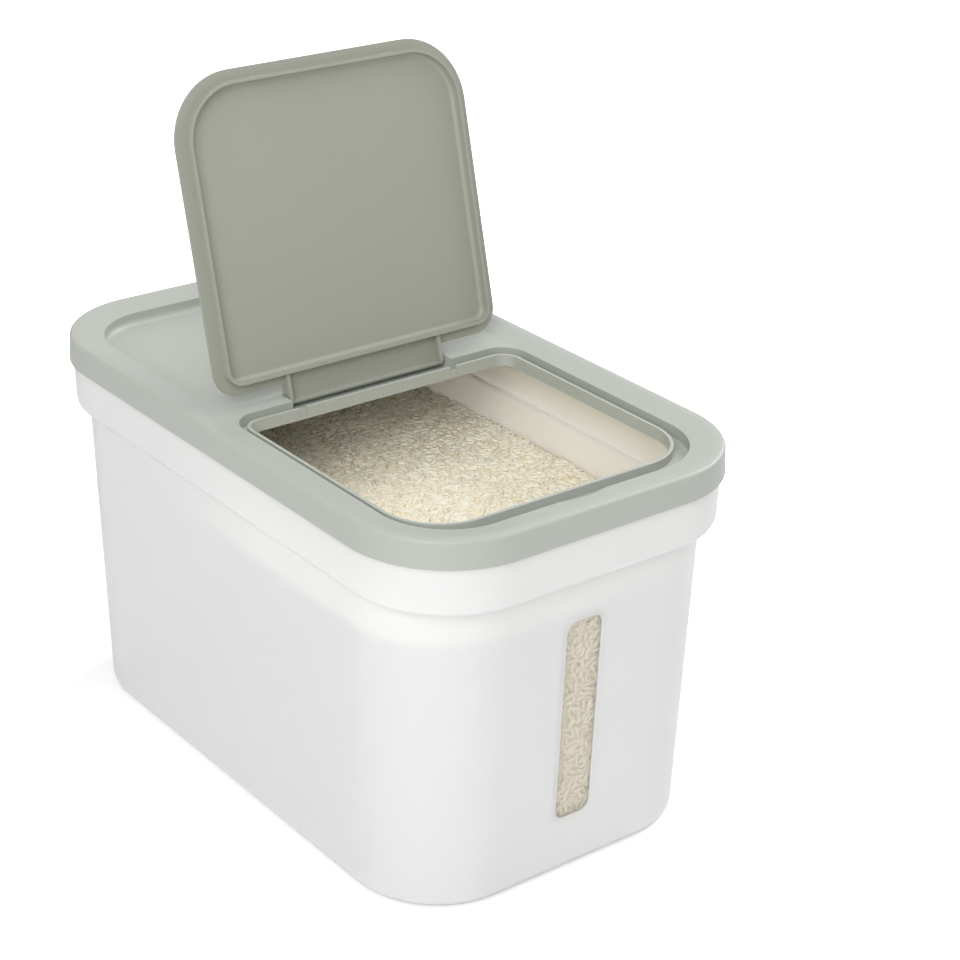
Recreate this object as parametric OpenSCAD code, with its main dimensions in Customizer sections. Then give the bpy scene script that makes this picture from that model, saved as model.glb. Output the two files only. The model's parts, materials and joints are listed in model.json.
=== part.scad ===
// Rice bin with a lift-off cover and a flip lid.
// Millimetres, +Z up, +X across the bin, -Y is the end with the level window.
// The origin is on the floor under the middle of the bin.
// The flip lid is drawn open, leaning on the back edge of its hinge slot.
// Every wall that follows a rounded rectangle is one profile carried round it.

/* [Bin body] */
// How far each long side of the tub stands in from the cover, at the floor
side_in = 11.8; // [6:0.1:30]
// How far each end of the tub stands in from the cover, at the floor
end_in = 16.45; // [8:0.05:40]
// Corner radius of the tub at the floor
base_r = 50.5; // [20:1:70]
// Radius between the tub wall and its underside
base_edge_r = 6; // [3:0.5:10]
// Lean of every tub wall, in degrees
draft = 1.9; // [0.5:0.1:4]
// Wall thickness of the tub
body_wall = 2.2; // [1.6:0.1:3]
// Thickness of the tub floor
floor_t = 2.6; // [2:0.1:4]
// Height of the underside of the wide band round the top
band_z = 173.5; // [120:0.5:200]
// Radius of the lower outer edge of the wide band
band_edge_r = 5; // [2:0.5:7]

/* [Cover] */
// Width of the cover at the bottom of its skirt
cover_w = 220; // [180:1:280]
// Length of the cover at the bottom of its skirt
cover_l = 367.5; // [300:0.5:440]
// Corner radius of the cover at the bottom of its skirt
cover_r = 57.1; // [40:0.1:70]
// Height of the top of the cover
cover_z = 215.8; // [180:0.1:260]
// Visible height of the skirt
skirt_h = 14.7; // [10:0.1:22]
// How much narrower each side of the skirt is at the top
skirt_lean = 0.8; // [0.2:0.1:1.5]
// Thickness of the cover's walls
cover_wall = 1.8; // [1.4:0.1:2.4]
// Radius of the top outer edge
top_edge_r = 2; // [1:0.25:2.5]
// Width of the flat top of the border, from the bottom edge of the skirt
border_flat = 6; // [4:0.5:8]
// Width of the whole border, from the bottom edge of the skirt
border_w = 18.6; // [14:0.1:24]
// Drop from the top of the border to the field inside it
field_drop = 2.6; // [1:0.1:4]
// Drop from the top of the border to the floors of the two recesses
recess_drop = 9.4; // [7:0.1:12]
// Front edge of the rear recess, from the middle of the bin
rear_y0 = 32; // [26:1:60]
// Radius of the front corners of the rear recess
rear_r = 14; // [6:1:30]
// How far the rear recess stands in from the border on each side
rear_in = 1; // [0:0.1:6]

/* [Mouth] */
// Back edge of the lid pocket, from the middle of the bin
pocket_y1 = 7.7; // [0:0.1:12]
// Radius of the back corners of the lid pocket
pocket_r1 = 15; // [13:0.5:25]
// Radius of the front corners of the mouth rim
mouth_r0 = 33; // [20:0.5:36]
// Width of the gutter beside and behind the mouth rim
gutter_w = 4.2; // [3:0.1:6]
// Width of the finger gutter in front of the mouth rim
finger_gap = 10.6; // [8:0.1:16]
// Thickness of the mouth rim
rim_t = 1.8; // [1.4:0.1:2.4]
// Drop from the top of the border to the top of the mouth rim
rim_drop = 4.6; // [3.5:0.1:6]
// Width of the finger scoop in the pocket's front wall
scoop_w = 29; // [18:1:50]
// Depth of the finger scoop
scoop_d = 3.2; // [1:0.1:5]

/* [Flip lid] */
// Angle through which the lid opens, in degrees
lid_open = 105; // [90:1:110]
// Thickness of the lid plate
lid_t = 2.6; // [2:0.1:3.5]
// Overhang of the plate beyond the plug ring
lid_over = 5.7; // [4:0.1:7]
// Depth of the plug ring below the plate
ring_h = 4.8; // [3:0.1:6]
// Thickness of the plug ring
ring_t = 1.6; // [1.2:0.1:2.4]
// Radius of the lid's outer edge
lid_edge_r = 1; // [0.4:0.1:1.2]
// Width of each snap nub on the front of the plug ring
nub_w = 9; // [4:0.5:14]
// Distance between the middles of the two snap nubs
nub_pitch = 80; // [40:1:120]
// Radius of the snap nubs
nub_r = 0.9; // [0.5:0.1:1.2]
// How far each nub stands out of the plug ring
nub_out = 0.35; // [0.1:0.05:0.45]
// Height of each nub above the lower edge of the plug ring
nub_up = 1.2; // [0.9:0.1:2.5]

/* [Hinge] */
// Width of the hinge leaf over its two side ribs
leaf_w = 100; // [60:1:130]
// Thickness of each side rib
rib_t = 2.2; // [1.6:0.1:3]
// Outer radius of the curled lip at the end of the leaf
curl_r = 3; // [2.6:0.1:3.4]
// Thickness of the hinge leaf and its curled lip
leaf_t = 1.7; // [1.4:0.1:2.2]
// Distance from the plug ring to the hinge axis
leaf_reach = 14.2; // [13:0.1:18]
// Radius of the hinge pins
pin_r = 1.5; // [1.2:0.1:1.8]
// Length of each hinge pin beyond its rib
pin_len = 4; // [3:0.1:6]

/* [Level window] */
// Width of the window
window_w = 22.4; // [12:0.1:40]
// Height of the bottom edge of the window
window_z0 = 33; // [20:1:80]
// Height of the top edge of the window
window_z1 = 149; // [90:1:165]
// Corner radius of the window
window_r = 6; // [2:0.5:10]
// Thickness of the pane
pane_t = 1.3; // [0.8:0.1:1.6]
// Width of the ledge that the pane sits on
pane_ledge = 2.5; // [1.5:0.1:5]

/* [Fits] */
// Gap between the skirt and the body rim inside it
skirt_gap = 0.35; // [0.2:0.05:0.6]
// Gap between the plug ring and the mouth rim
plug_gap = 0.5; // [0.3:0.05:1]
// Gap between a hinge pin and its socket
pin_gap = 0.05; // [0.02:0.01:0.1]
// Gap between the end of a hinge pin and the end of its socket
pin_end_gap = 0.5; // [0.2:0.1:1]
// Wall left at the end of each pin socket
socket_wall = 1.5; // [1:0.1:2.5]
// Gap between a side rib and the end of the hinge slot
leaf_gap = 1.5; // [0.8:0.1:2.5]
// Gap on each side of a side rib in its notch in the mouth rim
notch_gap = 1.2; // [0.6:0.1:2]
// Gap between the open leaf and the edge that it leans on
stop_gap = 0.1; // [0.05:0.05:0.3]
// Gap round the pane in its seat
pane_gap = 0.05; // [0.02:0.01:0.1]

/* [Hidden] */
$fn = 96;
// overlap between pieces of one solid
lap = 0.5;
// middles of the cover's corner arcs, then of the tub's
core_x = cover_w / 2 - cover_r;
core_y = cover_l / 2 - cover_r;
base_w = cover_w - 2 * side_in;
base_l = cover_l - 2 * end_in;
tub_x = base_w / 2 - base_r;
tub_y = base_l / 2 - base_r;
lean = tan(draft);
wall_off = body_wall / cos(draft);
// cover levels
skirt_z = cover_z - skirt_h;
field_z = cover_z - field_drop;
recess_z = cover_z - recess_drop;
under_z = recess_z - cover_wall;
// offsets from the corner arc middles
flat_off = cover_r - border_flat;
field_off = cover_r - border_w;
skirt_slope = skirt_lean / skirt_h;
// body rim, which stands inside the skirt and carries the cover
ledge_z = band_z + body_wall;
band_top = skirt_z + 1;
band_off = cover_r - cover_wall - skirt_gap;
rim_z = cover_z - cover_wall;
rim_off = band_off - skirt_lean;
// lid pocket and mouth
pocket_x = core_x + field_off;
pocket_y0 = -core_y - field_off;
mouth_x = pocket_x - gutter_w;
mouth_y0 = pocket_y0 + finger_gap;
mouth_y1 = pocket_y1 - gutter_w;
mouth_r1 = pocket_r1 - gutter_w;
mouth_z = cover_z - rim_drop;
scoop_r = (pow(scoop_w / 2, 2) + pow(scoop_d, 2)) / (2 * scoop_d);
// rear recess
rear_x = pocket_x - rear_in;
rear_y1 = core_y + field_off - rear_in;
rear_r1 = field_off - rear_in;
// lid, measured closed
plug_in = rim_t + plug_gap;
lid_grow = lid_over - plug_in;
lid_z = mouth_z + lid_t;
ring_z = mouth_z - ring_h;
// hinge
ring_back = mouth_y1 - plug_in;
axis_y = ring_back + leaf_reach;
axis_z = lid_z - curl_r;
rib_x = leaf_w / 2 - rib_t / 2;
slot_x = leaf_w / 2 + leaf_gap;
slot_y = axis_y + (curl_r - (field_z - axis_z) * cos(lid_open)) / sin(lid_open) + stop_gap;
socket_x = leaf_w / 2 + pin_len + pin_end_gap;
// window, measured up the slope of the front wall
pane_x = window_w / 2 - window_r;
pane_s = (window_z1 - window_z0) / 2 / cos(draft) - window_r;
window_s = (window_z0 + window_z1) / 2 / cos(draft);

// A rounded rectangle about the middle, given the middles of its corner arcs.
module rounded(x, y, r) {
  square([2 * x + 2 * r, 2 * y], center = true);
  square([2 * x, 2 * y + 2 * r], center = true);
  for (i = [-1, 1], j = [-1, 1])
    translate([i * x, j * y])
      circle(r);
}

// A rectangle from y0 to y1 with corner radius r0 at the front and r1 at the back,
// grown outward by g.
module outline(x, y0, y1, r0, r1, g = 0) {
  translate([-x - g, y0 + r0])
    square([2 * x + 2 * g, y1 - y0 - r0 - r1]);
  translate([r0 - x, y0 - g])
    square([2 * x - 2 * r0, r0 + g + lap]);
  translate([r1 - x, y1 - r1 - lap])
    square([2 * x - 2 * r1, r1 + g + lap]);
  for (i = [-1, 1]) {
    translate([i * (x - r0), y0 + r0])
      circle(r0 + g);
    translate([i * (x - r1), y1 - r1])
      circle(r1 + g);
  }
}

// Carries a profile round a rounded rectangle. The profile's x is the distance out from the
// middles of the corner arcs and its y is the height.
module swept(x, y) {
  for (i = [0:3]) {
    a = i % 2 == 0 ? x : y;
    b = i % 2 == 0 ? y : x;
    rotate([0, 0, 90 * i])
      translate([a, b, 0]) {
        rotate_extrude(angle = 90)
          children();
        rotate([90, 0, 0])
          linear_extrude(2 * b)
            children();
      }
  }
}

// The middle of a swept solid, between two heights.
module core(x, y, z0, z1) {
  translate([-x, -y, z0])
    cube([2 * x, 2 * y, z1 - z0]);
}

// Half of a tub's section: a floor at z0, a leaning wall that passes r at height zero, and
// a corner of radius e between them.
module tub_section(r, z0, z1, e) {
  wall_z0 = r + z0 * lean;
  mid = wall_z0 + e * lean - e / cos(draft);
  polygon([
    [0, z0],
    [mid, z0],
    [mid + e * cos(draft), z0 + e - e * sin(draft)],
    [r + z1 * lean, z1],
    [0, z1]
  ]);
  translate([mid, z0 + e])
    circle(e);
}

module tub_outside() {
  swept(tub_x, tub_y)
    tub_section(base_r, 0, ledge_z, base_edge_r);
  core(tub_x, tub_y, 0, ledge_z);
}

module tub_inside() {
  inner_r = base_edge_r - body_wall;
  swept(tub_x, tub_y)
    tub_section(base_r - wall_off, floor_t, ledge_z + lap, inner_r);
  core(tub_x, tub_y, floor_t, ledge_z + lap);
}

// The wide band and the rim above it, filled in.
module band_outside() {
  foot = band_off - (band_top - band_z) * lean;
  mid = foot + band_edge_r * lean - band_edge_r / cos(draft);
  swept(core_x, core_y) {
    polygon([
      [0, band_z],
      [mid, band_z],
      [mid + band_edge_r * cos(draft), band_z + band_edge_r - band_edge_r * sin(draft)],
      [band_off, band_top],
      [rim_off, band_top + skirt_lean],
      [rim_off, rim_z],
      [0, rim_z]
    ]);
    translate([mid, band_z + band_edge_r])
      circle(band_edge_r);
  }
  core(core_x, core_y, band_z, rim_z);
}

module band_inside() {
  foot = band_off - (band_top - ledge_z) * lean - wall_off;
  swept(core_x, core_y)
    polygon([
      [0, ledge_z],
      [foot, ledge_z],
      [rim_off - body_wall, band_top],
      [rim_off - body_wall, rim_z + lap],
      [0, rim_z + lap]
    ]);
  core(core_x, core_y, ledge_z, rim_z + lap);
}

// Cuts straight into the front wall, from depth d0 to d1, grown by g round the window.
module window_cut(d0, d1, g = 0) {
  translate([0, -base_l / 2, 0])
    rotate([draft, 0, 0])
      translate([0, d1, window_s])
        rotate([90, 0, 0])
          linear_extrude(d1 - d0)
            rounded(pane_x, pane_s, window_r + g);
}

module bin_body() {
  color("#ebebe8")
    difference() {
      union() {
        tub_outside();
        band_outside();
      }
      tub_inside();
      band_inside();
      window_cut(-lap, body_wall + lap);
      window_cut(body_wall - pane_t, body_wall + lap, pane_ledge);
    }
}

module window_pane() {
  color("#e3ddd0")
    window_cut(body_wall - pane_t, body_wall, pane_ledge - pane_gap);
}

// Skirt and border of the cover, as one section.
module border_section() {
  top = cover_r - skirt_lean;
  difference() {
    union() {
      polygon([
        [cover_r, skirt_z],
        [top + top_edge_r * skirt_slope, cover_z - top_edge_r],
        [top - top_edge_r, cover_z],
        [flat_off, cover_z],
        [field_off, field_z],
        [field_off, skirt_z]
      ]);
      translate([top - top_edge_r, cover_z - top_edge_r])
        circle(top_edge_r);
    }
    polygon([
      [cover_r - cover_wall + lap * skirt_slope, skirt_z - lap],
      [top - cover_wall, cover_z - cover_wall],
      [flat_off, cover_z - cover_wall],
      [field_off, field_z - cover_wall],
      [field_off - lap, field_z - cover_wall],
      [field_off - lap, skirt_z - lap]
    ]);
  }
}

module pocket_outline(g = 0) {
  outline(pocket_x, pocket_y0, pocket_y1, field_off, pocket_r1, g);
}

module mouth_outline(g = 0) {
  outline(mouth_x, mouth_y0, mouth_y1, mouth_r0, mouth_r1, g);
}

module rear_outline(g = 0) {
  outline(rear_x, rear_y0, rear_y1, rear_r, rear_r1, g);
}

module slot_outline() {
  translate([-slot_x, pocket_y1 - lap])
    square([2 * slot_x, slot_y - pocket_y1 + lap]);
}

module scoop_outline(g = 0) {
  translate([0, pocket_y0 - scoop_d + scoop_r])
    circle(scoop_r + g);
}

// The field inside the border and the solid that the wells are cut from.
module well_blocks() {
  translate([0, 0, field_z - cover_wall])
    linear_extrude(cover_wall)
      rounded(core_x, core_y, field_off + lap);
  translate([0, 0, under_z])
    linear_extrude(field_z - under_z) {
      pocket_outline(cover_wall);
      rear_outline(cover_wall);
      intersection() {
        scoop_outline(cover_wall);
        translate([-pocket_x, pocket_y0 - 2 * scoop_d])
          square([2 * pocket_x, 4 * scoop_d]);
      }
      // hinge slot, with a pin socket at each end
      translate([-socket_x - socket_wall, pocket_y1])
        square([2 * socket_x + 2 * socket_wall, slot_y - pocket_y1 + cover_wall]);
    }
}

module mouth_rim() {
  notch_w = rib_t + 2 * notch_gap;
  difference() {
    translate([0, 0, under_z])
      linear_extrude(mouth_z - under_z)
        difference() {
          mouth_outline();
          mouth_outline(-rim_t);
        }
    // the lid's side ribs pass through these when it is shut
    for (i = [-1, 1])
      translate([i * rib_x - notch_w / 2, mouth_y1 - rim_t - lap, recess_z])
        cube([notch_w, rim_t + 2 * lap, mouth_z - recess_z + lap]);
  }
}

module cover() {
  color("#c6cdc3") {
    difference() {
      union() {
        swept(core_x, core_y)
          border_section();
        well_blocks();
      }
      translate([0, 0, recess_z])
        linear_extrude(cover_z - recess_z + lap) {
          pocket_outline();
          rear_outline();
          slot_outline();
          scoop_outline();
        }
      translate([0, 0, under_z - lap])
        linear_extrude(cover_z - under_z)
          mouth_outline(-rim_t);
      translate([-socket_x, axis_y, axis_z])
        rotate([0, 90, 0])
          cylinder(r = pin_r + pin_gap, h = 2 * socket_x);
    }
    mouth_rim();
  }
}

// Carries a profile round the mouth; the profile's x is the distance out from the rim.
module round_mouth() {
  x0 = mouth_x - mouth_r0;
  x1 = mouth_x - mouth_r1;
  y0 = mouth_y0 + mouth_r0;
  y1 = mouth_y1 - mouth_r1;
  for (c = [[x1, y1, 0, mouth_r1], [-x1, y1, 90, mouth_r1],
            [-x0, y0, 180, mouth_r0], [x0, y0, 270, mouth_r0]])
    translate([c[0], c[1], 0])
      rotate([0, 0, c[2]])
        rotate_extrude(angle = 90)
          translate([c[3], 0])
            children();
  for (s = [[mouth_x, y1, 0, y1 - y0], [-x1, mouth_y1, 90, 2 * x1],
            [-mouth_x, y0, 180, y1 - y0], [x0, mouth_y0, 270, 2 * x0]])
    translate([s[0], s[1], 0])
      rotate([90, 0, s[2]])
        linear_extrude(s[3])
          children();
}

// The plate, with its outer edge rounded, and the ring that plugs the mouth.
module lid_plate() {
  round_mouth() {
    translate([lid_grow - 2 * lid_edge_r, mouth_z])
      square([2 * lid_edge_r, lid_t - lid_edge_r]);
    translate([lid_grow - 2 * lid_edge_r, mouth_z])
      square([lid_edge_r, lid_t]);
    translate([lid_grow - lid_edge_r, lid_z - lid_edge_r])
      circle(lid_edge_r);
  }
  translate([0, 0, mouth_z])
    linear_extrude(lid_t)
      mouth_outline(lid_grow - 1.5 * lid_edge_r);
  translate([0, 0, ring_z])
    linear_extrude(ring_h + lap)
      difference() {
        mouth_outline(-plug_in);
        mouth_outline(-plug_in - ring_t);
      }
}

// A rod along X, for the nubs, the pins and the curl of the leaf.
module rod(x, y, z, r, w) {
  translate([x - w / 2, y, z])
    rotate([0, 90, 0])
      cylinder(r = r, h = w);
}

module hinge_leaf() {
  translate([-leaf_w / 2, ring_back + lap, lid_z - leaf_t])
    cube([leaf_w, leaf_reach - lap, leaf_t]);
  // the lip curls round the hinge axis, past its underside
  translate([-leaf_w / 2, axis_y, axis_z])
    rotate([90, 0, 90])
      linear_extrude(leaf_w)
        difference() {
          circle(curl_r);
          circle(curl_r - leaf_t);
          polygon([
            [0, 0],
            [0, 2 * curl_r],
            [-2 * curl_r, 2 * curl_r],
            [-2 * curl_r, -2 * curl_r],
            [curl_r, -2 * curl_r]
          ]);
        }
  for (i = [-1, 1]) {
    rod(i * rib_x, axis_y, axis_z, curl_r, rib_t);
    translate([i * rib_x - rib_t / 2, ring_back - lap, axis_z - curl_r])
      cube([rib_t, leaf_reach + lap, 2 * curl_r]);
    rod(i * (leaf_w / 2 + (pin_len - rib_t) / 2), axis_y, axis_z, pin_r, pin_len + rib_t);
  }
}

// The lid as it lies when shut.
module shut_lid() {
  difference() {
    lid_plate();
    // between the ribs the overhang is as thin as the leaf
    translate([rib_t - leaf_w / 2, ring_back, mouth_z - lap])
      cube([leaf_w - 2 * rib_t, 2 * lid_over, lid_t - leaf_t + lap]);
  }
  hinge_leaf();
  for (i = [-1, 1])
    rod(i * nub_pitch / 2, mouth_y0 + plug_in + nub_r - nub_out, ring_z + nub_up, nub_r, nub_w);
}

module flip_lid() {
  color("#a7ab9c")
    translate([0, axis_y, axis_z])
      rotate([-lid_open, 0, 0])
        translate([0, -axis_y, -axis_z])
          shut_lid();
}

bin_body();
window_pane();
cover();
flip_lid();
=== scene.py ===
import json
import math
import bmesh
import bpy
from mathutils import Matrix, Vector

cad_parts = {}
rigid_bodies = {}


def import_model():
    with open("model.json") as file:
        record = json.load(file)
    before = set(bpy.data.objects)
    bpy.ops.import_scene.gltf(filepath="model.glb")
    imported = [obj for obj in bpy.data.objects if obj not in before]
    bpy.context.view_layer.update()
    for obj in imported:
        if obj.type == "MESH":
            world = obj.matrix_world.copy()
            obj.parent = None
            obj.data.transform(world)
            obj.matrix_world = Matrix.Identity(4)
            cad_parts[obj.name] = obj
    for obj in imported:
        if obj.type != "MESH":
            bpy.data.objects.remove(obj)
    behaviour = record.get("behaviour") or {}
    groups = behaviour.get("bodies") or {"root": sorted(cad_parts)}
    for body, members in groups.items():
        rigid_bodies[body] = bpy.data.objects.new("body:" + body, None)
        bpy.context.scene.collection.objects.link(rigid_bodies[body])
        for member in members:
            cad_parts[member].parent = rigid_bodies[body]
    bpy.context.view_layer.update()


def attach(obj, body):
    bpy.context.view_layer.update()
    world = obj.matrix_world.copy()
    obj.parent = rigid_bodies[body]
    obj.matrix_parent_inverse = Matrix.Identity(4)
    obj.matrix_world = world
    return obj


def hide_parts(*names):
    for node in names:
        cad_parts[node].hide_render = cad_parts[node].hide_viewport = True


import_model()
bpy.ops.object.select_all(action="DESELECT")
mm = 0.001  # sizes below are in millimetres
bpy.context.scene.view_settings.view_transform = "Standard"


def choose(kind, test):
    # selects what passes the test, and nothing else
    bpy.ops.mesh.select_mode(type=kind)
    bpy.ops.mesh.select_all(action="DESELECT")
    mesh = bmesh.from_edit_mesh(bpy.context.object.data)
    for part in {"VERT": mesh.verts, "EDGE": mesh.edges, "FACE": mesh.faces}[kind]:
        if test(part):
            part.select_set(True)
    mesh.select_flush_mode()
    bmesh.update_edit_mesh(bpy.context.object.data)


def middle(part):
    # middle of an edge or a face, in millimetres
    total = Vector()
    for vert in part.verts:
        total += vert.co
    return total / len(part.verts) / mm


def roundOff(points):
    # (out, up, radius) corners become a chain of points with arcs in it
    chain = []
    for i, (out, up, radius) in enumerate(points):
        here = Vector((out, up))
        if radius == 0 or i == 0 or i == len(points) - 1:
            chain.append(here)
            continue
        back = (Vector(points[i - 1][:2]) - here).normalized()
        on = (Vector(points[i + 1][:2]) - here).normalized()
        half = back.angle(on) / 2
        centre = here + (back + on).normalized() * radius / math.sin(half)
        start = here + back * radius / math.tan(half) - centre
        turn = start.angle_signed(here + on * radius / math.tan(half) - centre)
        steps = max(2, round(abs(math.degrees(turn)) / 15))
        for k in range(steps + 1):
            chain.append(centre + Matrix.Rotation(-turn * k / steps, 2) @ start)
    return chain


def drawChain(places):
    # draws a line of edges, point by point, in the piece being edited
    bpy.ops.mesh.select_mode(type="VERT")
    bpy.ops.mesh.select_all(action="DESELECT")
    bpy.ops.mesh.primitive_plane_add(size=mm, location=places[0])
    bpy.ops.mesh.merge(type="CENTER")
    for before, after in zip(places, places[1:]):
        bpy.ops.mesh.extrude_region_move(TRANSFORM_OT_translate={"value": after - before})
    bpy.ops.mesh.select_linked()


def carryRound(ring, points):
    # carries a profile round a rounded rectangle: half width, front and back, and the
    # corner radii there. The profile is measured out from that rectangle, and up.
    half, front, back, rFront, rBack, steps = ring
    places = [Vector((half + p.x, front + rFront, p.y)) * mm for p in roundOff(points)]
    drawChain(places)
    corners = [
        (half - rBack, back - rBack, (0, back - rBack - front - rFront)),
        (rBack - half, back - rBack, (2 * rBack - 2 * half, 0)),
        (rFront - half, front + rFront, (0, front + rFront - back + rBack)),
        (half - rFront, front + rFront, (2 * half - 2 * rFront, 0)),
    ]
    for x, y, move in corners:
        bpy.ops.mesh.extrude_region_move(
            TRANSFORM_OT_translate={"value": (move[0] * mm, move[1] * mm, 0)}
        )
        bpy.ops.mesh.spin(
            steps=steps, angle=math.radians(90), center=(x * mm, y * mm, 0), axis=(0, 0, -1)
        )  # with no window it turns the other way
    bpy.ops.mesh.select_all(action="SELECT")
    bpy.ops.mesh.remove_doubles(threshold=0.004 * mm)


def newPiece(name):
    # an empty piece at the origin, open for editing
    bpy.ops.object.select_all(action="DESELECT")
    bpy.ops.mesh.primitive_plane_add(size=mm)
    piece = bpy.context.object
    piece.name = piece.data.name = name
    bpy.ops.object.mode_set(mode="EDIT")
    bpy.ops.mesh.delete(type="VERT")
    return piece


def endEdit(outward=True):
    if outward:
        bpy.ops.mesh.select_all(action="SELECT")
        bpy.ops.mesh.normals_make_consistent(inside=False)
    bpy.ops.object.mode_set(mode="OBJECT")


def block(name, low, high):
    # a box between two corners, open for editing
    bpy.ops.object.select_all(action="DESELECT")
    size = [(b - a) * mm for a, b in zip(low, high)]
    place = [(a + b) / 2 * mm for a, b in zip(low, high)]
    bpy.ops.mesh.primitive_cube_add(size=1, location=place)
    piece = bpy.context.object
    piece.name = piece.data.name = name
    piece.scale = size
    bpy.ops.object.transform_apply(location=True, rotation=True, scale=True)
    bpy.ops.object.mode_set(mode="EDIT")
    return piece


def isUpright(edge):
    a, b = edge.verts
    return abs(a.co.x - b.co.x) + abs(a.co.y - b.co.y) < 1e-6


def ringBlock(name, ring, z0, z1, foot=0, steps=5):
    # a block with the plan of a ring; foot rounds its lower edge
    half, front, back, rFront, rBack, turns = ring
    piece = block(name, (-half, front, z0), (half, back, z1))
    centre = (front + back) / 2
    for radius, side in ((rFront, -1), (rBack, 1)):
        if radius:
            choose("EDGE", lambda e: isUpright(e) and (middle(e).y - centre) * side > 0
                   and abs(middle(e).x) > half - 0.01)
            bpy.ops.mesh.bevel(offset=radius * mm, segments=turns, affect="EDGES")
    if foot:
        choose("EDGE", lambda e: abs(middle(e).z - z0) < 1e-3 and not isUpright(e))
        bpy.ops.mesh.bevel(offset=foot * mm, segments=steps, affect="EDGES")
    bpy.ops.object.mode_set(mode="OBJECT")
    return piece


def applyAll(piece):
    bpy.ops.object.select_all(action="DESELECT")
    piece.select_set(True)
    bpy.context.view_layer.objects.active = piece
    for modifier in list(piece.modifiers):
        bpy.ops.object.modifier_apply(modifier=modifier.name)


def cut(piece, tool, operation="DIFFERENCE"):
    modifier = piece.modifiers.new("cut", "BOOLEAN")
    modifier.operation = operation
    modifier.solver = "EXACT"
    modifier.object = tool
    applyAll(piece)
    bpy.data.objects.remove(tool)


def softenEdges(piece, radius, segments=3, above=28):
    # rounds the outward edges that are still sharp, then keeps the flats flat
    applyAll(piece)
    bpy.ops.object.mode_set(mode="EDIT")
    choose("EDGE", lambda e: e.is_manifold and e.is_convex
           and e.calc_face_angle() > math.radians(above))
    bpy.ops.transform.edge_bevelweight(value=1)
    bpy.ops.object.mode_set(mode="OBJECT")
    if radius:
        modifier = piece.modifiers.new("soften", "BEVEL")
        modifier.width = radius * mm
        modifier.segments = segments
        modifier.limit_method = "WEIGHT"
        modifier.use_clamp_overlap = True
        modifier.miter_outer = "MITER_ARC"
    applyAll(piece)
    bpy.ops.object.shade_smooth_by_angle(angle=math.radians(40))
    modifier = piece.modifiers.new("flats", "WEIGHTED_NORMAL")
    modifier.keep_sharp = True
    modifier.weight = 90
    applyAll(piece)


def finishPiece(piece, body, material, nodes=()):
    piece.data.materials.clear()
    piece.data.materials.append(material)
    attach(piece, body)
    for node in nodes:
        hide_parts(node)
    print("made", piece.name, len(piece.data.polygons), "faces")


# ---- camera
view = {
    "azimuth": -38.26,
    "elevation": 25.26,
    "roll": 1.43,
    "distance": 1349.51,
    "target": (85.32, 22.51, 125.27),
    "lens": 88.25,
}


def makeCamera():
    az, el, roll = (math.radians(view[k]) for k in ("azimuth", "elevation", "roll"))
    back = Vector((math.sin(az) * math.cos(el), -math.cos(az) * math.cos(el), math.sin(el)))
    right = Vector((math.cos(az), math.sin(az), 0))
    up = back.cross(right)
    tilted = right * math.cos(roll) + up * math.sin(roll)
    place = (Vector(view["target"]) + back * view["distance"]) * mm
    matrix = Matrix((tilted, back.cross(tilted), back)).transposed().to_4x4()
    bpy.ops.object.camera_add()
    camera = bpy.context.object
    camera.name = "viewCamera"
    camera.matrix_world = Matrix.Translation(place) @ matrix
    camera.data.lens = view["lens"]
    camera.data.sensor_width = 36
    camera.data.clip_end = 50
    bpy.context.scene.camera = camera
    print("camera in place")


makeCamera()

# ---- materials
def node(tree, kind, place, **values):
    made = tree.nodes.new(kind)
    made.location = place
    for name, value in values.items():
        if name in made.inputs:
            made.inputs[name].default_value = value
        else:
            setattr(made, name, value)
    return made


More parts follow.
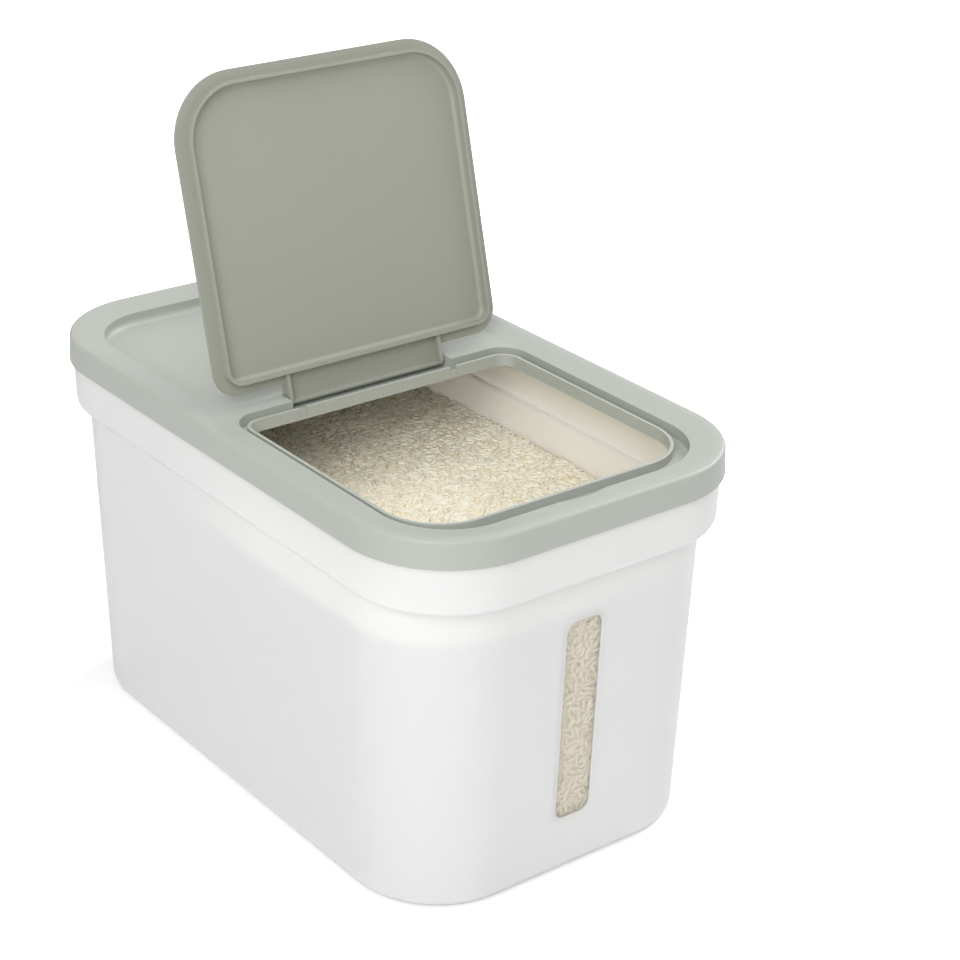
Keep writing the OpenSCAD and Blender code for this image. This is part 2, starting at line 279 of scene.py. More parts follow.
def mouldedSurface():
    # fine grain of a mould, with slow drifts of tone, for every plastic here
    group = bpy.data.node_groups.new("mouldedSurface", "ShaderNodeTree")
    for name, kind, value in (
        ("Colour", "NodeSocketColor", (0.8, 0.8, 0.8, 1)),
        ("Drift", "NodeSocketFloat", 0.03),
        ("Grain Scale", "NodeSocketFloat", 2600.0),
        ("Roughness", "NodeSocketFloat", 0.4),
        ("Roughness Drift", "NodeSocketFloat", 0.08),
    ):
        socket = group.interface.new_socket(name, in_out="INPUT", socket_type=kind)
        socket.default_value = value
    group.interface.new_socket("Colour", in_out="OUTPUT", socket_type="NodeSocketColor")
    group.interface.new_socket("Roughness", in_out="OUTPUT", socket_type="NodeSocketFloat")
    group.interface.new_socket("Height", in_out="OUTPUT", socket_type="NodeSocketFloat")
    entry = node(group, "NodeGroupInput", (-900, 0))
    leave = node(group, "NodeGroupOutput", (500, 0))
    place = node(group, "ShaderNodeTexCoord", (-900, -300))
    slow = node(group, "ShaderNodeTexNoise", (-650, 200), Scale=14.0, Detail=3.0)
    fine = node(group, "ShaderNodeTexNoise", (-650, -200), Detail=4.0, Roughness=0.6)
    specks = node(group, "ShaderNodeTexNoise", (-650, -450), Scale=420.0, Detail=2.0)
    link = group.links.new
    link(place.outputs["Object"], slow.inputs["Vector"])
    link(place.outputs["Object"], fine.inputs["Vector"])
    link(place.outputs["Object"], specks.inputs["Vector"])
    link(entry.outputs["Grain Scale"], fine.inputs["Scale"])
    centred = node(group, "ShaderNodeMath", (-430, 200), operation="SUBTRACT")
    centred.inputs[1].default_value = 0.5
    link(slow.outputs["Fac"], centred.inputs[0])
    amount = node(group, "ShaderNodeMath", (-250, 200), operation="MULTIPLY_ADD")
    link(centred.outputs[0], amount.inputs[0])
    link(entry.outputs["Drift"], amount.inputs[1])
    amount.inputs[2].default_value = 1.0
    tone = node(group, "ShaderNodeVectorMath", (0, 200), operation="SCALE")
    link(entry.outputs["Colour"], tone.inputs[0])
    link(amount.outputs[0], tone.inputs["Scale"])
    link(tone.outputs["Vector"], leave.inputs["Colour"])
    patchy = node(group, "ShaderNodeMath", (-430, -450), operation="SUBTRACT")
    patchy.inputs[1].default_value = 0.5
    link(specks.outputs["Fac"], patchy.inputs[0])
    rough = node(group, "ShaderNodeMath", (0, -100), operation="MULTIPLY_ADD")
    link(patchy.outputs[0], rough.inputs[0])
    link(entry.outputs["Roughness Drift"], rough.inputs[1])
    link(entry.outputs["Roughness"], rough.inputs[2])
    link(rough.outputs[0], leave.inputs["Roughness"])
    link(fine.outputs["Fac"], leave.inputs["Height"])
    return group


mouldGroup = mouldedSurface()
finishes = {
    "sagePlastic": {"colour": (0.43, 0.454, 0.414, 1), "roughness": 0.42, "bump": 0.05,
                    "drift": 0.05},
    "sageLid": {"colour": (0.335, 0.347, 0.292, 1), "roughness": 0.46, "bump": 0.05,
                "drift": 0.05},
    "clearPane": {"colour": (0.82, 0.77, 0.68, 1), "roughness": 0.3, "bump": 0.03,
                  "drift": 0.02, "alpha": 0.28},
    "whitePlastic": {"colour": (0.77, 0.77, 0.765, 1), "roughness": 0.4, "bump": 0.03,
                     "drift": 0.02, "through": 1.0, "depth": 4.0},
    # the warmer colour of the inner faces is painted warm bounce light from the rice
    "bounceTintLining": {"colour": (0.8, 0.78, 0.73, 1), "roughness": 0.5, "bump": 0.05,
                      "drift": 0.05, "through": 1.0, "depth": 4.0},
}


def plastic(name):
    finish = finishes[name]
    material = bpy.data.materials.new(name)
    material.use_nodes = True
    tree = material.node_tree
    shader = tree.nodes["Principled BSDF"]
    group = node(tree, "ShaderNodeGroup", (-500, 0), node_tree=mouldGroup)
    group.inputs["Colour"].default_value = finish["colour"]
    group.inputs["Roughness"].default_value = finish["roughness"]
    group.inputs["Drift"].default_value = finish["drift"]
    bump = node(tree, "ShaderNodeBump", (-250, -250), Strength=finish["bump"], Distance=0.0002)
    tree.links.new(group.outputs["Colour"], shader.inputs["Base Color"])
    tree.links.new(group.outputs["Roughness"], shader.inputs["Roughness"])
    tree.links.new(group.outputs["Height"], bump.inputs["Height"])
    tree.links.new(bump.outputs["Normal"], shader.inputs["Normal"])
    shader.inputs["IOR"].default_value = 1.49
    if "depth" in finish:
        shader.inputs["Subsurface Weight"].default_value = finish["through"]
        shader.inputs["Subsurface Radius"].default_value = (1, 0.98, 0.94)
        shader.inputs["Subsurface Scale"].default_value = finish["depth"] * mm
    if "alpha" in finish:
        shader.inputs["Alpha"].default_value = finish["alpha"]
    return material


sagePlastic = plastic("sagePlastic")
sageLid = plastic("sageLid")
whitePlastic = plastic("whitePlastic")
bounceTintLining = plastic("bounceTintLining")
clearPane = plastic("clearPane")


def riceFinish(name, dark, pale):
    # each grain has its own tone, and chalky patches along it
    material = bpy.data.materials.new(name)
    material.use_nodes = True
    tree = material.node_tree
    shader = tree.nodes["Principled BSDF"]
    link = tree.links.new
    tone = node(tree, "ShaderNodeAttribute", (-900, 100), attribute_name="grainTone")
    place = node(tree, "ShaderNodeTexCoord", (-1100, -200))
    chalk = node(tree, "ShaderNodeTexNoise", (-900, -200), Scale=380.0, Detail=3.0)
    link(place.outputs["Object"], chalk.inputs["Vector"])
    both = node(tree, "ShaderNodeMath", (-650, 0), operation="MULTIPLY_ADD")
    link(chalk.outputs["Fac"], both.inputs[0])
    both.inputs[1].default_value = 0.5
    link(tone.outputs["Fac"], both.inputs[2])
    ramp = node(tree, "ShaderNodeValToRGB", (-400, 0))
    ramp.color_ramp.elements[0].position = 0.25
    ramp.color_ramp.elements[0].color = dark
    ramp.color_ramp.elements[1].position = 0.95
    ramp.color_ramp.elements[1].color = pale
    link(both.outputs[0], ramp.inputs["Fac"])
    link(ramp.outputs["Color"], shader.inputs["Base Color"])
    bump = node(tree, "ShaderNodeBump", (-250, -300), Strength=0.2, Distance=0.0002)
    link(chalk.outputs["Fac"], bump.inputs["Height"])
    link(bump.outputs["Normal"], shader.inputs["Normal"])
    shader.inputs["Roughness"].default_value = 0.5
    shader.inputs["Subsurface Weight"].default_value = 0.35
    shader.inputs["Subsurface Radius"].default_value = (1, 0.95, 0.85)
    shader.inputs["Subsurface Scale"].default_value = 1 * mm
    return material


riceGrain = riceFinish("riceGrain", (0.93, 0.83, 0.635, 1), (0.98, 0.925, 0.775, 1))

# ---- tub
tub = {
    "half": 98.2, "front": -167.3, "back": 167.3, "radius": 50.5,  # at the floor
    "bandHalf": 110, "bandEnd": 183.75, "bandRadius": 57.1,        # outline of the cover
    "draft": 1.9, "wall": 2.2, "floor": 2.6, "footRadius": 6,
    "bandHeight": 173.5, "bandEdge": 5, "top": 214.0, "skirtFoot": 201.1,
    "bandIn": 2.15, "rimIn": 0.8,  # band in from the cover's outline, and rim in from the band
    "floorFillet": 4.5, "cornerSteps": 20, "soften": 0.6,
}


def roundSolid(name, outline, points):
    # a solid with a profile carried round it and flat faces at both ends of the profile
    piece = newPiece(name)
    carryRound(outline, points)
    for level in {points[0][1], points[-1][1]}:
        choose("EDGE", lambda e: len(e.link_faces) == 1 and abs(middle(e).z - level) < 0.01)
        bpy.ops.mesh.edge_face_add()
    endEdit()
    return piece


def makeTub():
    lean = math.tan(math.radians(tub["draft"]))
    wall = tub["wall"] / math.cos(math.radians(tub["draft"]))
    foot = (tub["half"], tub["front"], tub["back"], tub["radius"], tub["radius"], tub["cornerSteps"])
    band = (tub["bandHalf"], -tub["bandEnd"], tub["bandEnd"], tub["bandRadius"],
            tub["bandRadius"], tub["cornerSteps"])
    step, ledge, top = tub["bandHeight"], tub["bandHeight"] + tub["wall"], tub["top"]
    bandTop = tub["skirtFoot"] + 1
    outer = -tub["bandIn"]
    lower = outer - (bandTop - step) * lean
    rim = outer - tub["rimIn"]
    inner = outer - (bandTop - ledge) * lean - wall
    centre = 8 - tub["radius"]
    piece = roundSolid("tubShell", foot, [
        (centre, 0, 0), (0, 0, tub["footRadius"]), (ledge * lean, ledge, 0), (centre, ledge, 0)])
    cut(piece, roundSolid("band", band, [
        (centre, step, 0), (lower, step, tub["bandEdge"]), (outer, bandTop, 0.6),
        (rim, bandTop + 0.8, 0.6), (rim, top, 0.7), (rim - tub["wall"] / 2, top, 0),
        (centre, top, 0)]), "UNION")
    room = roundSolid("room", foot, [
        (centre, tub["floor"], 0), (tub["floor"] * lean - wall, tub["floor"], tub["floorFillet"]),
        ((ledge + 1) * lean - wall, ledge + 1, 0), (centre, ledge + 1, 0)])
    cut(room, roundSolid("upperRoom", band, [
        (centre, ledge, 0), (inner, ledge, 1.2), (rim - tub["wall"], bandTop, 4),
        (rim - tub["wall"], top + 2, 0), (centre, top + 2, 0)]), "UNION")
    cut(piece, room)
    return piece


tubShell = makeTub()

# ---- level window, measured up the slope of the front wall
window = {
    "half": 11.2, "foot": 33, "head": 149, "radius": 6,
    "ledge": 2.5, "thickness": 1.3, "gap": 0.05, "soften": 0.15,
}


def windowBlock(name, near, far, grow):
    # a plate with rounded corners in the slope of the wall, between two depths
    slope = math.radians(tub["draft"])
    half = window["half"] + grow
    rise = (window["head"] - window["foot"]) / 2 / math.cos(slope) + grow
    middleUp = (window["head"] + window["foot"]) / 2 / math.cos(slope)
    piece = block(name, (-half, near, middleUp - rise), (half, far, middleUp + rise))
    choose("EDGE", lambda e: abs(e.verts[0].co.y - e.verts[1].co.y) > 1e-5)
    bpy.ops.mesh.bevel(offset=(window["radius"] + grow) * mm, segments=8, affect="EDGES")
    bpy.ops.object.mode_set(mode="OBJECT")
    piece.rotation_euler.x = slope
    piece.location.y = tub["front"] * mm
    bpy.ops.object.transform_apply(location=True, rotation=True, scale=True)
    return piece


seat = tub["wall"] - window["thickness"]
cut(tubShell, windowBlock("opening", -0.5, tub["wall"] + 0.5, 0))
cut(tubShell, windowBlock("ledge", seat, tub["wall"] + 0.5, window["ledge"]))
softenEdges(tubShell, tub["soften"], above=35)
finishPiece(tubShell, "tub", whitePlastic, ["bin_body"])


def isInner(face):
    # true for the faces that line the tub, told by their place and the way they point
    place = middle(face)
    upper = place.z > tub["bandHeight"] + tub["wall"] - 0.5
    midWall = -4.2 if upper else (
        place.z * math.tan(math.radians(tub["draft"])) - tub["wall"] / 2)
    half, end, radius = (
        (tub["bandHalf"], tub["bandEnd"], tub["bandRadius"]) if upper else
        (tub["half"], tub["back"], tub["radius"]))
    out = Vector((
        math.copysign(max(abs(place.x) - half + radius, 0), place.x),
        math.copysign(max(abs(place.y) - end + radius, 0), place.y), 0))
    pointsIn = face.normal.dot(out.normalized()) < 0.1 and face.normal.z > -0.1
    return pointsIn and 1 < place.z < tub["top"] - 0.5 and out.length - radius < midWall


def tintLiningWithBounce():
    # the faces inside the tub get a warmer colour: painted warm light bounced off the rice
    bpy.ops.object.select_all(action="DESELECT")
    bpy.context.view_layer.objects.active = tubShell
    tubShell.select_set(True)
    tubShell.data.materials.append(bounceTintLining)
    bpy.ops.object.mode_set(mode="EDIT")
    choose("FACE", isInner)
    tubShell.active_material_index = 1
    bpy.ops.object.material_slot_assign()
    bpy.ops.object.mode_set(mode="OBJECT")
    lined = sum(1 for face in tubShell.data.polygons if face.material_index)
    print("lined", lined, "faces of the tub")


tintLiningWithBounce()

pane = windowBlock("windowPane", seat, tub["wall"], window["ledge"] - window["gap"])
softenEdges(pane, window["soften"], 2)
finishPiece(pane, "tub", clearPane, ["window_pane"])

# ---- cover
cover = {
    "half": 110, "end": 183.75, "radius": 57.1, "top": 215.8, "skirt": 14.7, "lean": 0.8,
    "wall": 1.8, "edge": 2, "flat": 6, "border": 18.6, "fieldDrop": 2.6, "recessDrop": 9.4,
    "pocket": (91.4, -165.15, 7.7, 38.5, 15, 14), "mouth": (87.2, -154.55, 3.5, 33, 10.8, 14),
    "rear": (90.4, 32, 164.15, 14, 37.5, 14), "rimTop": 211.2, "rim": 1.8,
    "slotHalf": 51.5, "slotBack": 19.25, "socketEnd": 54.5, "socket": 1.55, "socketWall": 1.5,
    "scoopWidth": 29, "scoopDepth": 3.2, "notchAt": 48.9, "notch": 4.6,
    "recessFoot": 3.5, "pocketFoot": 0.9, "soften": 0.4,
    "axisY": 15.4, "axisZ": 210.8,
}


def grown(ring, by):
    half, front, back, rFront, rBack, steps = ring
    return (half + by, front - by, back + by, rFront + by, rBack + by, steps)


def drum(name, centre, radius, z0, z1, foot=0):
    # an upright cylinder, its lower edge rounded by foot
    bpy.ops.object.select_all(action="DESELECT")
    bpy.ops.mesh.primitive_cylinder_add(
        vertices=96, radius=radius * mm, depth=(z1 - z0) * mm,
        location=(centre[0] * mm, centre[1] * mm, (z0 + z1) / 2 * mm),
    )
    piece = bpy.context.object
    piece.name = name
    bpy.ops.object.transform_apply(location=True, rotation=True, scale=True)
    if foot:
        bpy.ops.object.mode_set(mode="EDIT")
        choose("EDGE", lambda e: abs(middle(e).z - z0) < 1e-3)
        bpy.ops.mesh.bevel(offset=foot * mm, segments=4, affect="EDGES")
        bpy.ops.object.mode_set(mode="OBJECT")
    return piece


def box(name, low, high):
    piece = block(name, low, high)
    bpy.ops.object.mode_set(mode="OBJECT")
    return piece


def makeCover():
    top, wall = cover["top"], cover["wall"]
    field = top - cover["fieldDrop"]
    recess = top - cover["recessDrop"]
    under = recess - wall
    lean, foot = cover["lean"], top - cover["skirt"]
    outline = (cover["half"], -cover["end"], cover["end"], cover["radius"], cover["radius"], 24)
    centre = 8 - cover["radius"]
    piece = newPiece("coverShell")
    carryRound(outline, [
        (centre, field, 0), (-cover["border"], field, 6), (-cover["flat"], top, 9),
        (-lean, top, cover["edge"]), (0, foot, 0.4), (-wall, foot, 0.4),
        (-lean - wall, top - wall, 0.8), (-cover["flat"], top - wall, 6),
        (-cover["border"], field - wall, 6), (centre, field - wall, 0),
    ])
    for level in (field, field - wall):
        choose("EDGE", lambda e: len(e.link_faces) == 1 and abs(middle(e).z - level) < 0.01)
        bpy.ops.mesh.edge_face_add()
    endEdit()
    scoop = cover["scoopDepth"]
    scoopRadius = ((cover["scoopWidth"] / 2) ** 2 + scoop ** 2) / 2 / scoop
    scoopMiddle = (0, cover["pocket"][1] - scoop + scoopRadius)
    side, back = cover["slotHalf"], cover["slotBack"]
    end = cover["socketEnd"] + cover["socketWall"]
    inPlate = field - wall / 2
    cut(piece, ringBlock("pocketWall", grown(cover["pocket"], wall), under, inPlate), "UNION")
    cut(piece, ringBlock("rearWall", grown(cover["rear"], wall), under, inPlate), "UNION")
    cut(piece, box("slotWall", (-end, 5, under), (end, back + wall, inPlate)), "UNION")
    cut(piece, drum("scoopWall", scoopMiddle, scoopRadius + wall, under, inPlate), "UNION")
    well = ringBlock("pocket", cover["pocket"], recess, top + 3, cover["pocketFoot"])
    cut(well, box("slot", (-side, 3, recess), (side, back, top + 3)), "UNION")
    cut(well, drum("scoop", scoopMiddle, scoopRadius, recess, top + 3, cover["pocketFoot"]), "UNION")
    cut(piece, well)
    cut(piece, ringBlock("rear", cover["rear"], recess, top + 3, cover["recessFoot"]))
    cut(piece, ringBlock("rim", cover["mouth"], under + 0.6, cover["rimTop"]), "UNION")
    cut(piece, ringBlock("mouth", grown(cover["mouth"], -cover["rim"]), under - 3, top + 3))
    for sign in (-1, 1):
        at = sign * cover["notchAt"]
        y = cover["mouth"][2]
        half = cover["notch"] / 2
        cut(piece, box("notch", (at - half, y - 3, recess), (at + half, y + 1, top)))
        bpy.ops.object.select_all(action="DESELECT")
        bpy.ops.mesh.primitive_cylinder_add(
            vertices=32, radius=cover["socket"] * mm, depth=8 * mm,
            rotation=(0, math.radians(90), 0),
            location=(
                sign * (cover["socketEnd"] - 4) * mm, cover["axisY"] * mm, cover["axisZ"] * mm),
        )
        cut(piece, bpy.context.object)
    softenEdges(piece, cover["soften"])
    return piece


coverShell = makeCover()
finishPiece(coverShell, "cover", sagePlastic, ["cover"])

# ---- flip lid, made shut and then turned open
lid = {
    "outline": (90.6, -157.95, 6.9, 36.4, 14.2, 14), "under": 211.2, "top": 213.8,
    "overhang": 5.7, "ringDepth": 4.8, "ring": 1.6, "panelIn": 0.7, "fillet": 2.5,
    "edge": 1.0, "soften": 0.22, "open": 105,
    "leafHalf": 50, "leaf": 1.7, "curl": 3, "rib": 2.2, "ringBack": 1.2,
    "pin": 1.5, "pinLength": 4,
    "nubs": 80, "nub": 9, "nubRadius": 0.9, "nubOut": 0.35, "nubUp": 1.2,
}


def sideShape(name, points, x0, x1):
    # a flat shape in y and z, pulled out along x
    piece = newPiece(name)
    drawChain([Vector((x0, y, z)) * mm for y, z in points])
    bpy.ops.mesh.edge_face_add()
    bpy.ops.mesh.extrude_region_move(TRANSFORM_OT_translate={"value": ((x1 - x0) * mm, 0, 0)})
    endEdit()
    return piece


def arc(centre, radius, start, end, steps):
    turns = [math.radians(start + (end - start) * k / steps) for k in range(steps + 1)]
    return [(centre[0] + radius * math.cos(t), centre[1] + radius * math.sin(t)) for t in turns]


def rodAlongX(name, x, y, z, radius, width, sides=24):
    bpy.ops.object.select_all(action="DESELECT")
    bpy.ops.mesh.primitive_cylinder_add(
        vertices=sides, radius=radius * mm, depth=width * mm,
        rotation=(0, math.radians(90), 0), location=(x * mm, y * mm, z * mm),
    )
    piece = bpy.context.object
    piece.name = name
    bpy.ops.object.transform_apply(location=True, rotation=True, scale=True)
    return piece


def makeLid():
    under, top = lid["under"], lid["top"]
    axis = (cover["axisY"], cover["axisZ"])
    half, rib = lid["leafHalf"], lid["rib"]
    piece = ringBlock("lidShell", lid["outline"], under, top)
    bpy.ops.object.mode_set(mode="EDIT")
    choose("FACE", lambda f: f.normal.z < -0.9)
    bpy.ops.mesh.inset(thickness=lid["overhang"] * mm, use_even_offset=True)
    drop = -lid["ringDepth"]
    bpy.ops.mesh.extrude_region_move(TRANSFORM_OT_translate={"value": (0, 0, drop * mm)})
    bpy.ops.mesh.inset(thickness=lid["ring"] * mm, use_even_offset=True)
    rise = lid["ringDepth"] + lid["panelIn"] - lid["fillet"]
    bpy.ops.mesh.extrude_region_move(TRANSFORM_OT_translate={"value": (0, 0, rise * mm)})
    for k in range(6):  # a fillet in the corner between ring and panel
        a, b = math.radians(15 * k), math.radians(15 * k + 15)
        bpy.ops.mesh.inset(
            thickness=lid["fillet"] * (math.cos(a) - math.cos(b)) * mm,
            depth=-lid["fillet"] * (math.sin(b) - math.sin(a)) * mm, use_even_offset=True,
        )
    choose("EDGE", lambda e: middle(e).z > top - 0.01)
    bpy.ops.mesh.bevel(offset=lid["edge"] * mm, segments=4, affect="EDGES")
    bpy.ops.object.mode_set(mode="OBJECT")
    back = lid["ringBack"]
    cut(piece, box(
        "leafRoom", (rib - half, back, under - 1), (half - rib, back + 12, top - lid["leaf"])))
    leaf = [(back + 0.5, top), *arc(axis, lid["curl"], 90, -63, 12),
            *arc(axis, lid["curl"] - lid["leaf"], -63, 90, 12), (back + 0.5, top - lid["leaf"])]
    cut(piece, sideShape("leaf", leaf, -half, half), "UNION")
    ribShape = [(back - 0.5, axis[1] - lid["curl"]), *arc(axis, lid["curl"], -90, 90, 12),
                (back - 0.5, top)]
    nubY = lid["outline"][1] + lid["overhang"] + lid["nubRadius"] - lid["nubOut"]
    nubZ = under - lid["ringDepth"] + lid["nubUp"]
    length = lid["pinLength"] + rib / 2
    for sign in (-1, 1):
        x0, x1 = sorted((sign * half, sign * (half - rib)))
        cut(piece, sideShape("rib", ribShape, x0, x1), "UNION")
        pinX = sign * (half + lid["pinLength"] - length / 2)
        cut(piece, rodAlongX("pin", pinX, *axis, lid["pin"], length), "UNION")
        nubX = sign * lid["nubs"] / 2
        cut(piece, rodAlongX("nub", nubX, nubY, nubZ, lid["nubRadius"], lid["nub"]), "UNION")
    bpy.ops.object.mode_set(mode="EDIT")
    bpy.ops.mesh.select_all(action="SELECT")
    bpy.ops.transform.rotate(
        value=math.radians(lid["open"]), orient_axis="X", orient_type="GLOBAL",
        center_override=(0, axis[0] * mm, axis[1] * mm),
    )
    bpy.ops.object.mode_set(mode="OBJECT")
    softenEdges(piece, lid["soften"])
    return piece


lidShell = makeLid()
finishPiece(lidShell, "flip_lid", sageLid, ["flip_lid"])

# ---- rice, which fills the tub and shows behind the window
rice = {
    "level": 154.2, "swell": 3.5, "depth": 8, "grain": (6.6, 2.2, 1.8), "seed": 3,
    "layers": {  # gap between grains, lift, tilt, and the stretches along y they cover
        "riceLower": (2.0, -0.3, 0.25, ((-200, -40), (-40, 105), (105, 200))),
        "riceUpper": (2.3, 0.45, 0.3, ((-200, -40), (-40, 105))),
    },
    "bankBehind": 3.9,
    "banks": {  # gap between grains, tilt, and distance behind the pane
        "windowRiceInner": (1.7, 0.3, 3.0), "windowRiceOuter": (2.7, 0.15, 1.3),
    },
}


def makeGrain():
    # a short rod with one blunt and one pointed end, a few dozen faces
    bpy.ops.object.select_all(action="DESELECT")
    bpy.ops.mesh.primitive_uv_sphere_add(
        segments=6, ring_count=5, radius=0.5 * mm, rotation=(0, math.radians(90), 0))
    grain = bpy.context.object
    grain.name = "grain"
    grain.scale = rice["grain"][2], rice["grain"][1], rice["grain"][0]
    bpy.ops.object.transform_apply(location=True, rotation=True, scale=True)
    bpy.ops.object.mode_set(mode="EDIT")
    length = rice["grain"][0]
    choose("VERT", lambda v: 0.05 * length < v.co.x / mm < 0.4 * length)
    bpy.ops.transform.resize(value=(1.15, 1.12, 1.12))
    choose("VERT", lambda v: -0.4 * length < v.co.x / mm < -0.05 * length)
    bpy.ops.transform.resize(value=(1.1, 1.04, 1.04))
    bpy.ops.object.mode_set(mode="OBJECT")
    bpy.ops.object.shade_smooth()
    return grain


def scatter(host, grain, gap, seed, tilt, name, stretch=(-999, 999)):
    # grains spread over the upward faces of the host, as a mesh of their own
    tree = bpy.data.node_groups.new(name, "GeometryNodeTree")
    tree.interface.new_socket("Geometry", in_out="INPUT", socket_type="NodeSocketGeometry")
    tree.interface.new_socket("Geometry", in_out="OUTPUT", socket_type="NodeSocketGeometry")
    link = tree.links.new
    entry = tree.nodes.new("NodeGroupInput")
    leave = tree.nodes.new("NodeGroupOutput")
    normal = tree.nodes.new("GeometryNodeInputNormal")
    split = tree.nodes.new("ShaderNodeSeparateXYZ")
    upward = tree.nodes.new("FunctionNodeCompare")
    upward.inputs["B"].default_value = 0.6
    link(normal.outputs[0], split.inputs[0])
    link(split.outputs["Z"], upward.inputs["A"])
    spread = tree.nodes.new("GeometryNodeDistributePointsOnFaces")
    spread.distribute_method = "POISSON"
    spread.inputs["Distance Min"].default_value = gap * mm
    spread.inputs["Density Max"].default_value = 400000
    spread.inputs["Seed"].default_value = seed
    link(entry.outputs[0], spread.inputs["Mesh"])
    here = tree.nodes.new("GeometryNodeInputPosition")
    along = tree.nodes.new("ShaderNodeSeparateXYZ")
    within = tree.nodes.new("FunctionNodeCompare")
    within.operation = "EQUAL"
    within.inputs["B"].default_value = sum(stretch) / 2 * mm
    within.inputs["Epsilon"].default_value = (stretch[1] - stretch[0]) / 2 * mm
    both = tree.nodes.new("FunctionNodeBooleanMath")
    link(here.outputs[0], along.inputs[0])
    link(along.outputs["Y"], within.inputs["A"])
    link(upward.outputs["Result"], both.inputs[0])
    link(within.outputs["Result"], both.inputs[1])
    link(both.outputs[0], spread.inputs["Selection"])
    which = tree.nodes.new("GeometryNodeObjectInfo")
    which.inputs["Object"].default_value = grain
    turn = tree.nodes.new("FunctionNodeRandomValue")
    turn.data_type = "FLOAT_VECTOR"
    turn.inputs["Min"].default_value = (-math.pi, -tilt, 0)
    turn.inputs["Max"].default_value = (math.pi, tilt, 2 * math.pi)
    turn.inputs["Seed"].default_value = seed + 1
    size = tree.nodes.new("FunctionNodeRandomValue")
    size.inputs[2].default_value = 0.85
    size.inputs[3].default_value = 1.1
    size.inputs["Seed"].default_value = seed + 2
    place = tree.nodes.new("GeometryNodeInstanceOnPoints")
    link(spread.outputs["Points"], place.inputs["Points"])
    link(which.outputs["Geometry"], place.inputs["Instance"])
    link(turn.outputs["Value"], place.inputs["Rotation"])
    link(size.outputs[1], place.inputs["Scale"])
    tone = tree.nodes.new("FunctionNodeRandomValue")
    tone.inputs["Seed"].default_value = seed + 3
    store = tree.nodes.new("GeometryNodeStoreNamedAttribute")
    store.domain = "INSTANCE"
    store.inputs["Name"].default_value = "grainTone"
    link(place.outputs["Instances"], store.inputs["Geometry"])
    link(tone.outputs[1], store.inputs["Value"])
    real = tree.nodes.new("GeometryNodeRealizeInstances")
    link(store.outputs["Geometry"], real.inputs["Geometry"])
    link(real.outputs["Geometry"], leave.inputs[0])
    bpy.ops.object.select_all(action="DESELECT")
    host.select_set(True)
    bpy.context.view_layer.objects.active = host
    bpy.ops.object.duplicate()
    piece = bpy.context.object
    piece.name = piece.data.name = name
    modifier = piece.modifiers.new("scatter", "NODES")
    modifier.node_group = tree
    applyAll(piece)
    return piece


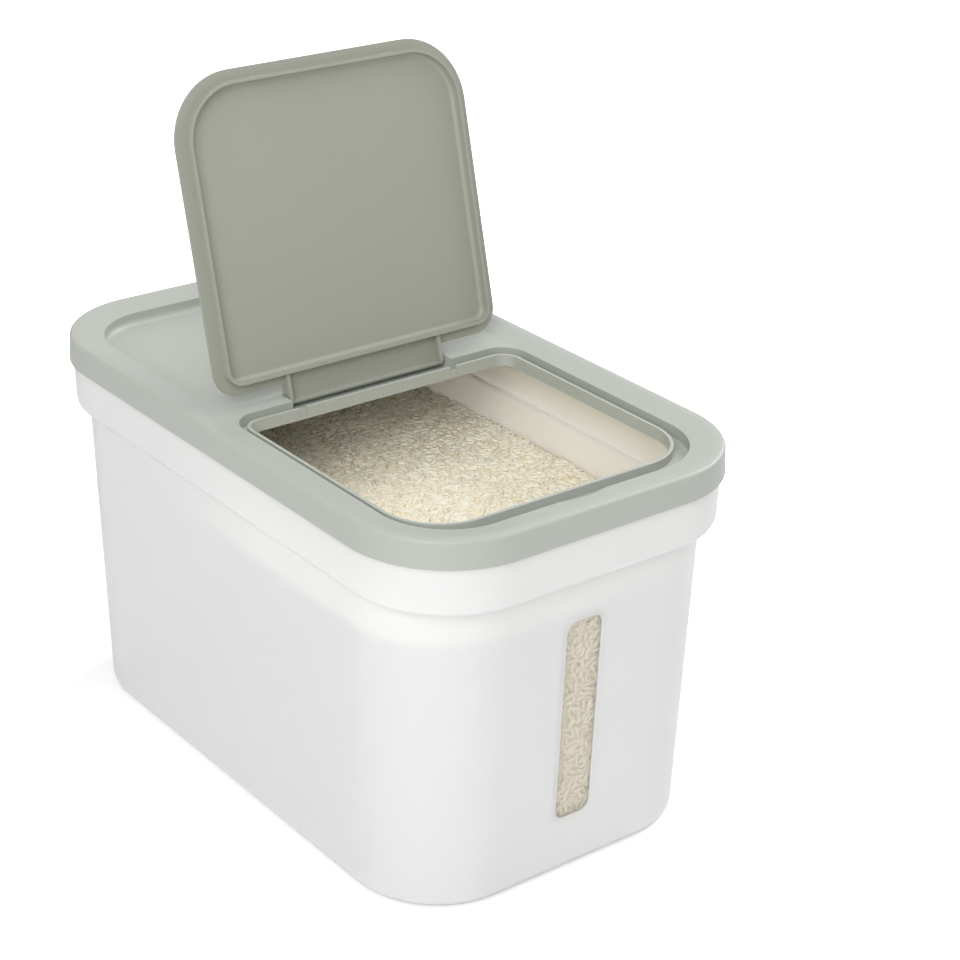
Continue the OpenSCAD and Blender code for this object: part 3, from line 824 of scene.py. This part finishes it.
def makeRice():
    lean = math.tan(math.radians(tub["draft"]))
    grain = makeGrain()
    level, depth = rice["level"], rice["depth"]
    out = level * lean - tub["wall"] - 1.6
    ring = (tub["half"] + out, tub["front"] - out, tub["back"] + out,
            tub["radius"] + out, tub["radius"] + out, 12)
    bpy.ops.object.select_all(action="DESELECT")
    bpy.ops.mesh.primitive_grid_add(x_subdivisions=60, y_subdivisions=96, size=1)
    bed = bpy.context.object
    bed.name = bed.data.name = "riceBed"
    bed.scale = (240 * mm, 384 * mm, 1)
    bed.location.z = level * mm
    bpy.ops.object.transform_apply(location=True, rotation=True, scale=True)
    bpy.ops.object.mode_set(mode="EDIT")
    bpy.ops.mesh.select_all(action="SELECT")
    bpy.ops.mesh.extrude_region_move(TRANSFORM_OT_translate={"value": (0, 0, -depth * mm)})
    endEdit()
    cut(bed, ringBlock("plan", ring, level - depth - 5, level + 5), "INTERSECT")
    top = bed.vertex_groups.new(name="top")
    top.add([v.index for v in bed.data.vertices if v.co.z > (level - 0.1) * mm], 1.0, "REPLACE")
    heaps = bpy.data.textures.new("heaps", "CLOUDS")
    heaps.noise_scale = 0.05
    swell = bed.modifiers.new("swell", "DISPLACE")
    swell.texture = heaps
    swell.direction = "Z"
    swell.strength = rice["swell"] * mm
    swell.vertex_group = "top"
    applyAll(bed)
    bpy.ops.object.shade_smooth_by_angle(angle=math.radians(40))
    layers = []
    for number, (name, (gap, lift, tilt, stretches)) in enumerate(rice["layers"].items()):
        for k, stretch in enumerate(stretches):
            seed = rice["seed"] + 10 * number + 30 * k
            layer = scatter(bed, grain, gap, seed, tilt, name + str(k + 1), stretch)
            bpy.ops.object.select_all(action="DESELECT")
            layer.select_set(True)
            bpy.ops.transform.translate(value=(0, 0, lift * mm))
            bpy.ops.object.transform_apply(location=True, rotation=True, scale=True)
            layers.append(layer)
    # a bank of grains that leans on the window from inside
    half = window["half"] + window["ledge"]
    bpy.ops.object.select_all(action="DESELECT")
    bpy.ops.mesh.primitive_grid_add(x_subdivisions=4, y_subdivisions=12, size=1)
    bank = bpy.context.object
    bank.name = bank.data.name = "windowBank"
    bank.scale = (2 * half * mm, (window["head"] - window["foot"] + 8) * mm, 1)
    bpy.ops.object.transform_apply(location=True, rotation=True, scale=True)
    bpy.ops.object.mode_set(mode="EDIT")
    bpy.ops.mesh.select_all(action="SELECT")
    bpy.ops.mesh.extrude_region_move(TRANSFORM_OT_translate={"value": (0, 0, -mm)})
    endEdit()
    banks = [(bank, rice["bankBehind"])]
    for number, (name, (gap, tilt, behind)) in enumerate(rice["banks"].items()):
        seed = rice["seed"] + 20 + 10 * number
        banks.append((scatter(bank, grain, gap, seed, tilt, name), behind))
    for layer, behind in banks:
        bpy.ops.object.select_all(action="DESELECT")
        layer.select_set(True)
        bpy.context.view_layer.objects.active = layer
        layer.rotation_euler.x = math.radians(90 + tub["draft"])
        up = (window["head"] + window["foot"]) / 2
        layer.location = (0, (tub["front"] - up * lean + tub["wall"] + behind) * mm, up * mm)
        bpy.ops.object.transform_apply(location=True, rotation=True, scale=True)
    for piece in (bed, *layers, *(layer for layer, behind in banks)):
        finishPiece(piece, "tub", riceGrain)
    bpy.data.objects.remove(grain)


makeRice()

# ---- floor, backdrop and light
studio = {
    "floorSize": 8.0, "world": 0.35, "aim": (0, 0, 0.15),  # the point that the lamps face
    "floorGlow": (0.3, 0.9, 0.2, 1.0),  # from this far to this far, from this glow to this
    "lamps": {  # place in metres, size, power
        "topLight": ((-0.2, 0.1, 2.3), 2.0, 12),
        "frontLeftLight": ((-1.38, -1.22, 1.35), 1.4, 30),
        "rightLight": ((1.8, 0.16, 1.4), 1.4, 28),
    },
}


def makeStudio():
    bpy.ops.object.select_all(action="DESELECT")
    bpy.ops.mesh.primitive_plane_add(size=studio["floorSize"], location=(0, 0, 0))
    floor = bpy.context.object
    floor.name = "studioFloor"
    material = bpy.data.materials.new("paleFloor")
    material.use_nodes = True
    tree = material.node_tree
    shader = tree.nodes["Principled BSDF"]
    shader.inputs["Base Color"].default_value = (0.9, 0.9, 0.9, 1)
    shader.inputs["Roughness"].default_value = 0.9
    # seen by the camera the floor turns white with distance, and it keeps the shadow
    rays = node(tree, "ShaderNodeLightPath", (-400, 400))
    glow = node(tree, "ShaderNodeMath", (-200, 300), operation="MULTIPLY")
    place = node(tree, "ShaderNodeTexCoord", (-1000, 200))
    far = node(tree, "ShaderNodeVectorMath", (-800, 200), operation="LENGTH")
    spread = node(tree, "ShaderNodeMapRange", (-600, 200))
    for name, value in zip(("From Min", "From Max", "To Min", "To Max"), studio["floorGlow"]):
        spread.inputs[name].default_value = value
    tree.links.new(place.outputs["Object"], far.inputs[0])
    tree.links.new(far.outputs["Value"], spread.inputs["Value"])
    tree.links.new(spread.outputs["Result"], glow.inputs[1])
    tree.links.new(rays.outputs["Is Camera Ray"], glow.inputs[0])
    shader.inputs["Emission Color"].default_value = (1, 1, 1, 1)
    tree.links.new(glow.outputs[0], shader.inputs["Emission Strength"])
    floor.data.materials.append(material)
    world = bpy.data.worlds.new("studio")
    bpy.context.scene.world = world
    world.use_nodes = True
    tree = world.node_tree
    sky = tree.nodes["Background"]
    sky.inputs["Color"].default_value = (1, 1, 1, 1)
    rays = node(tree, "ShaderNodeLightPath", (-900, 300))
    seen = node(tree, "ShaderNodeMath", (-650, 300), operation="MAXIMUM")
    through = node(tree, "ShaderNodeMath", (-450, 300), operation="MAXIMUM")
    strength = node(tree, "ShaderNodeMapRange", (-250, 300))
    strength.inputs["To Min"].default_value = studio["world"]
    tree.links.new(rays.outputs["Is Camera Ray"], seen.inputs[0])
    tree.links.new(rays.outputs["Is Glossy Ray"], seen.inputs[1])
    tree.links.new(seen.outputs[0], through.inputs[0])
    tree.links.new(rays.outputs["Is Transmission Ray"], through.inputs[1])
    tree.links.new(through.outputs[0], strength.inputs["Value"])
    tree.links.new(strength.outputs["Result"], sky.inputs["Strength"])
    for name, (place, size, power) in studio["lamps"].items():
        bpy.ops.object.light_add(type="AREA", location=place)
        lamp = bpy.context.object
        lamp.name = name
        lamp.data.size = size
        lamp.data.energy = power
        aim = Vector(studio["aim"]) - Vector(place)
        lamp.rotation_euler = aim.to_track_quat("-Z", "Y").to_euler()
    print("floor and light in place")


makeStudio()
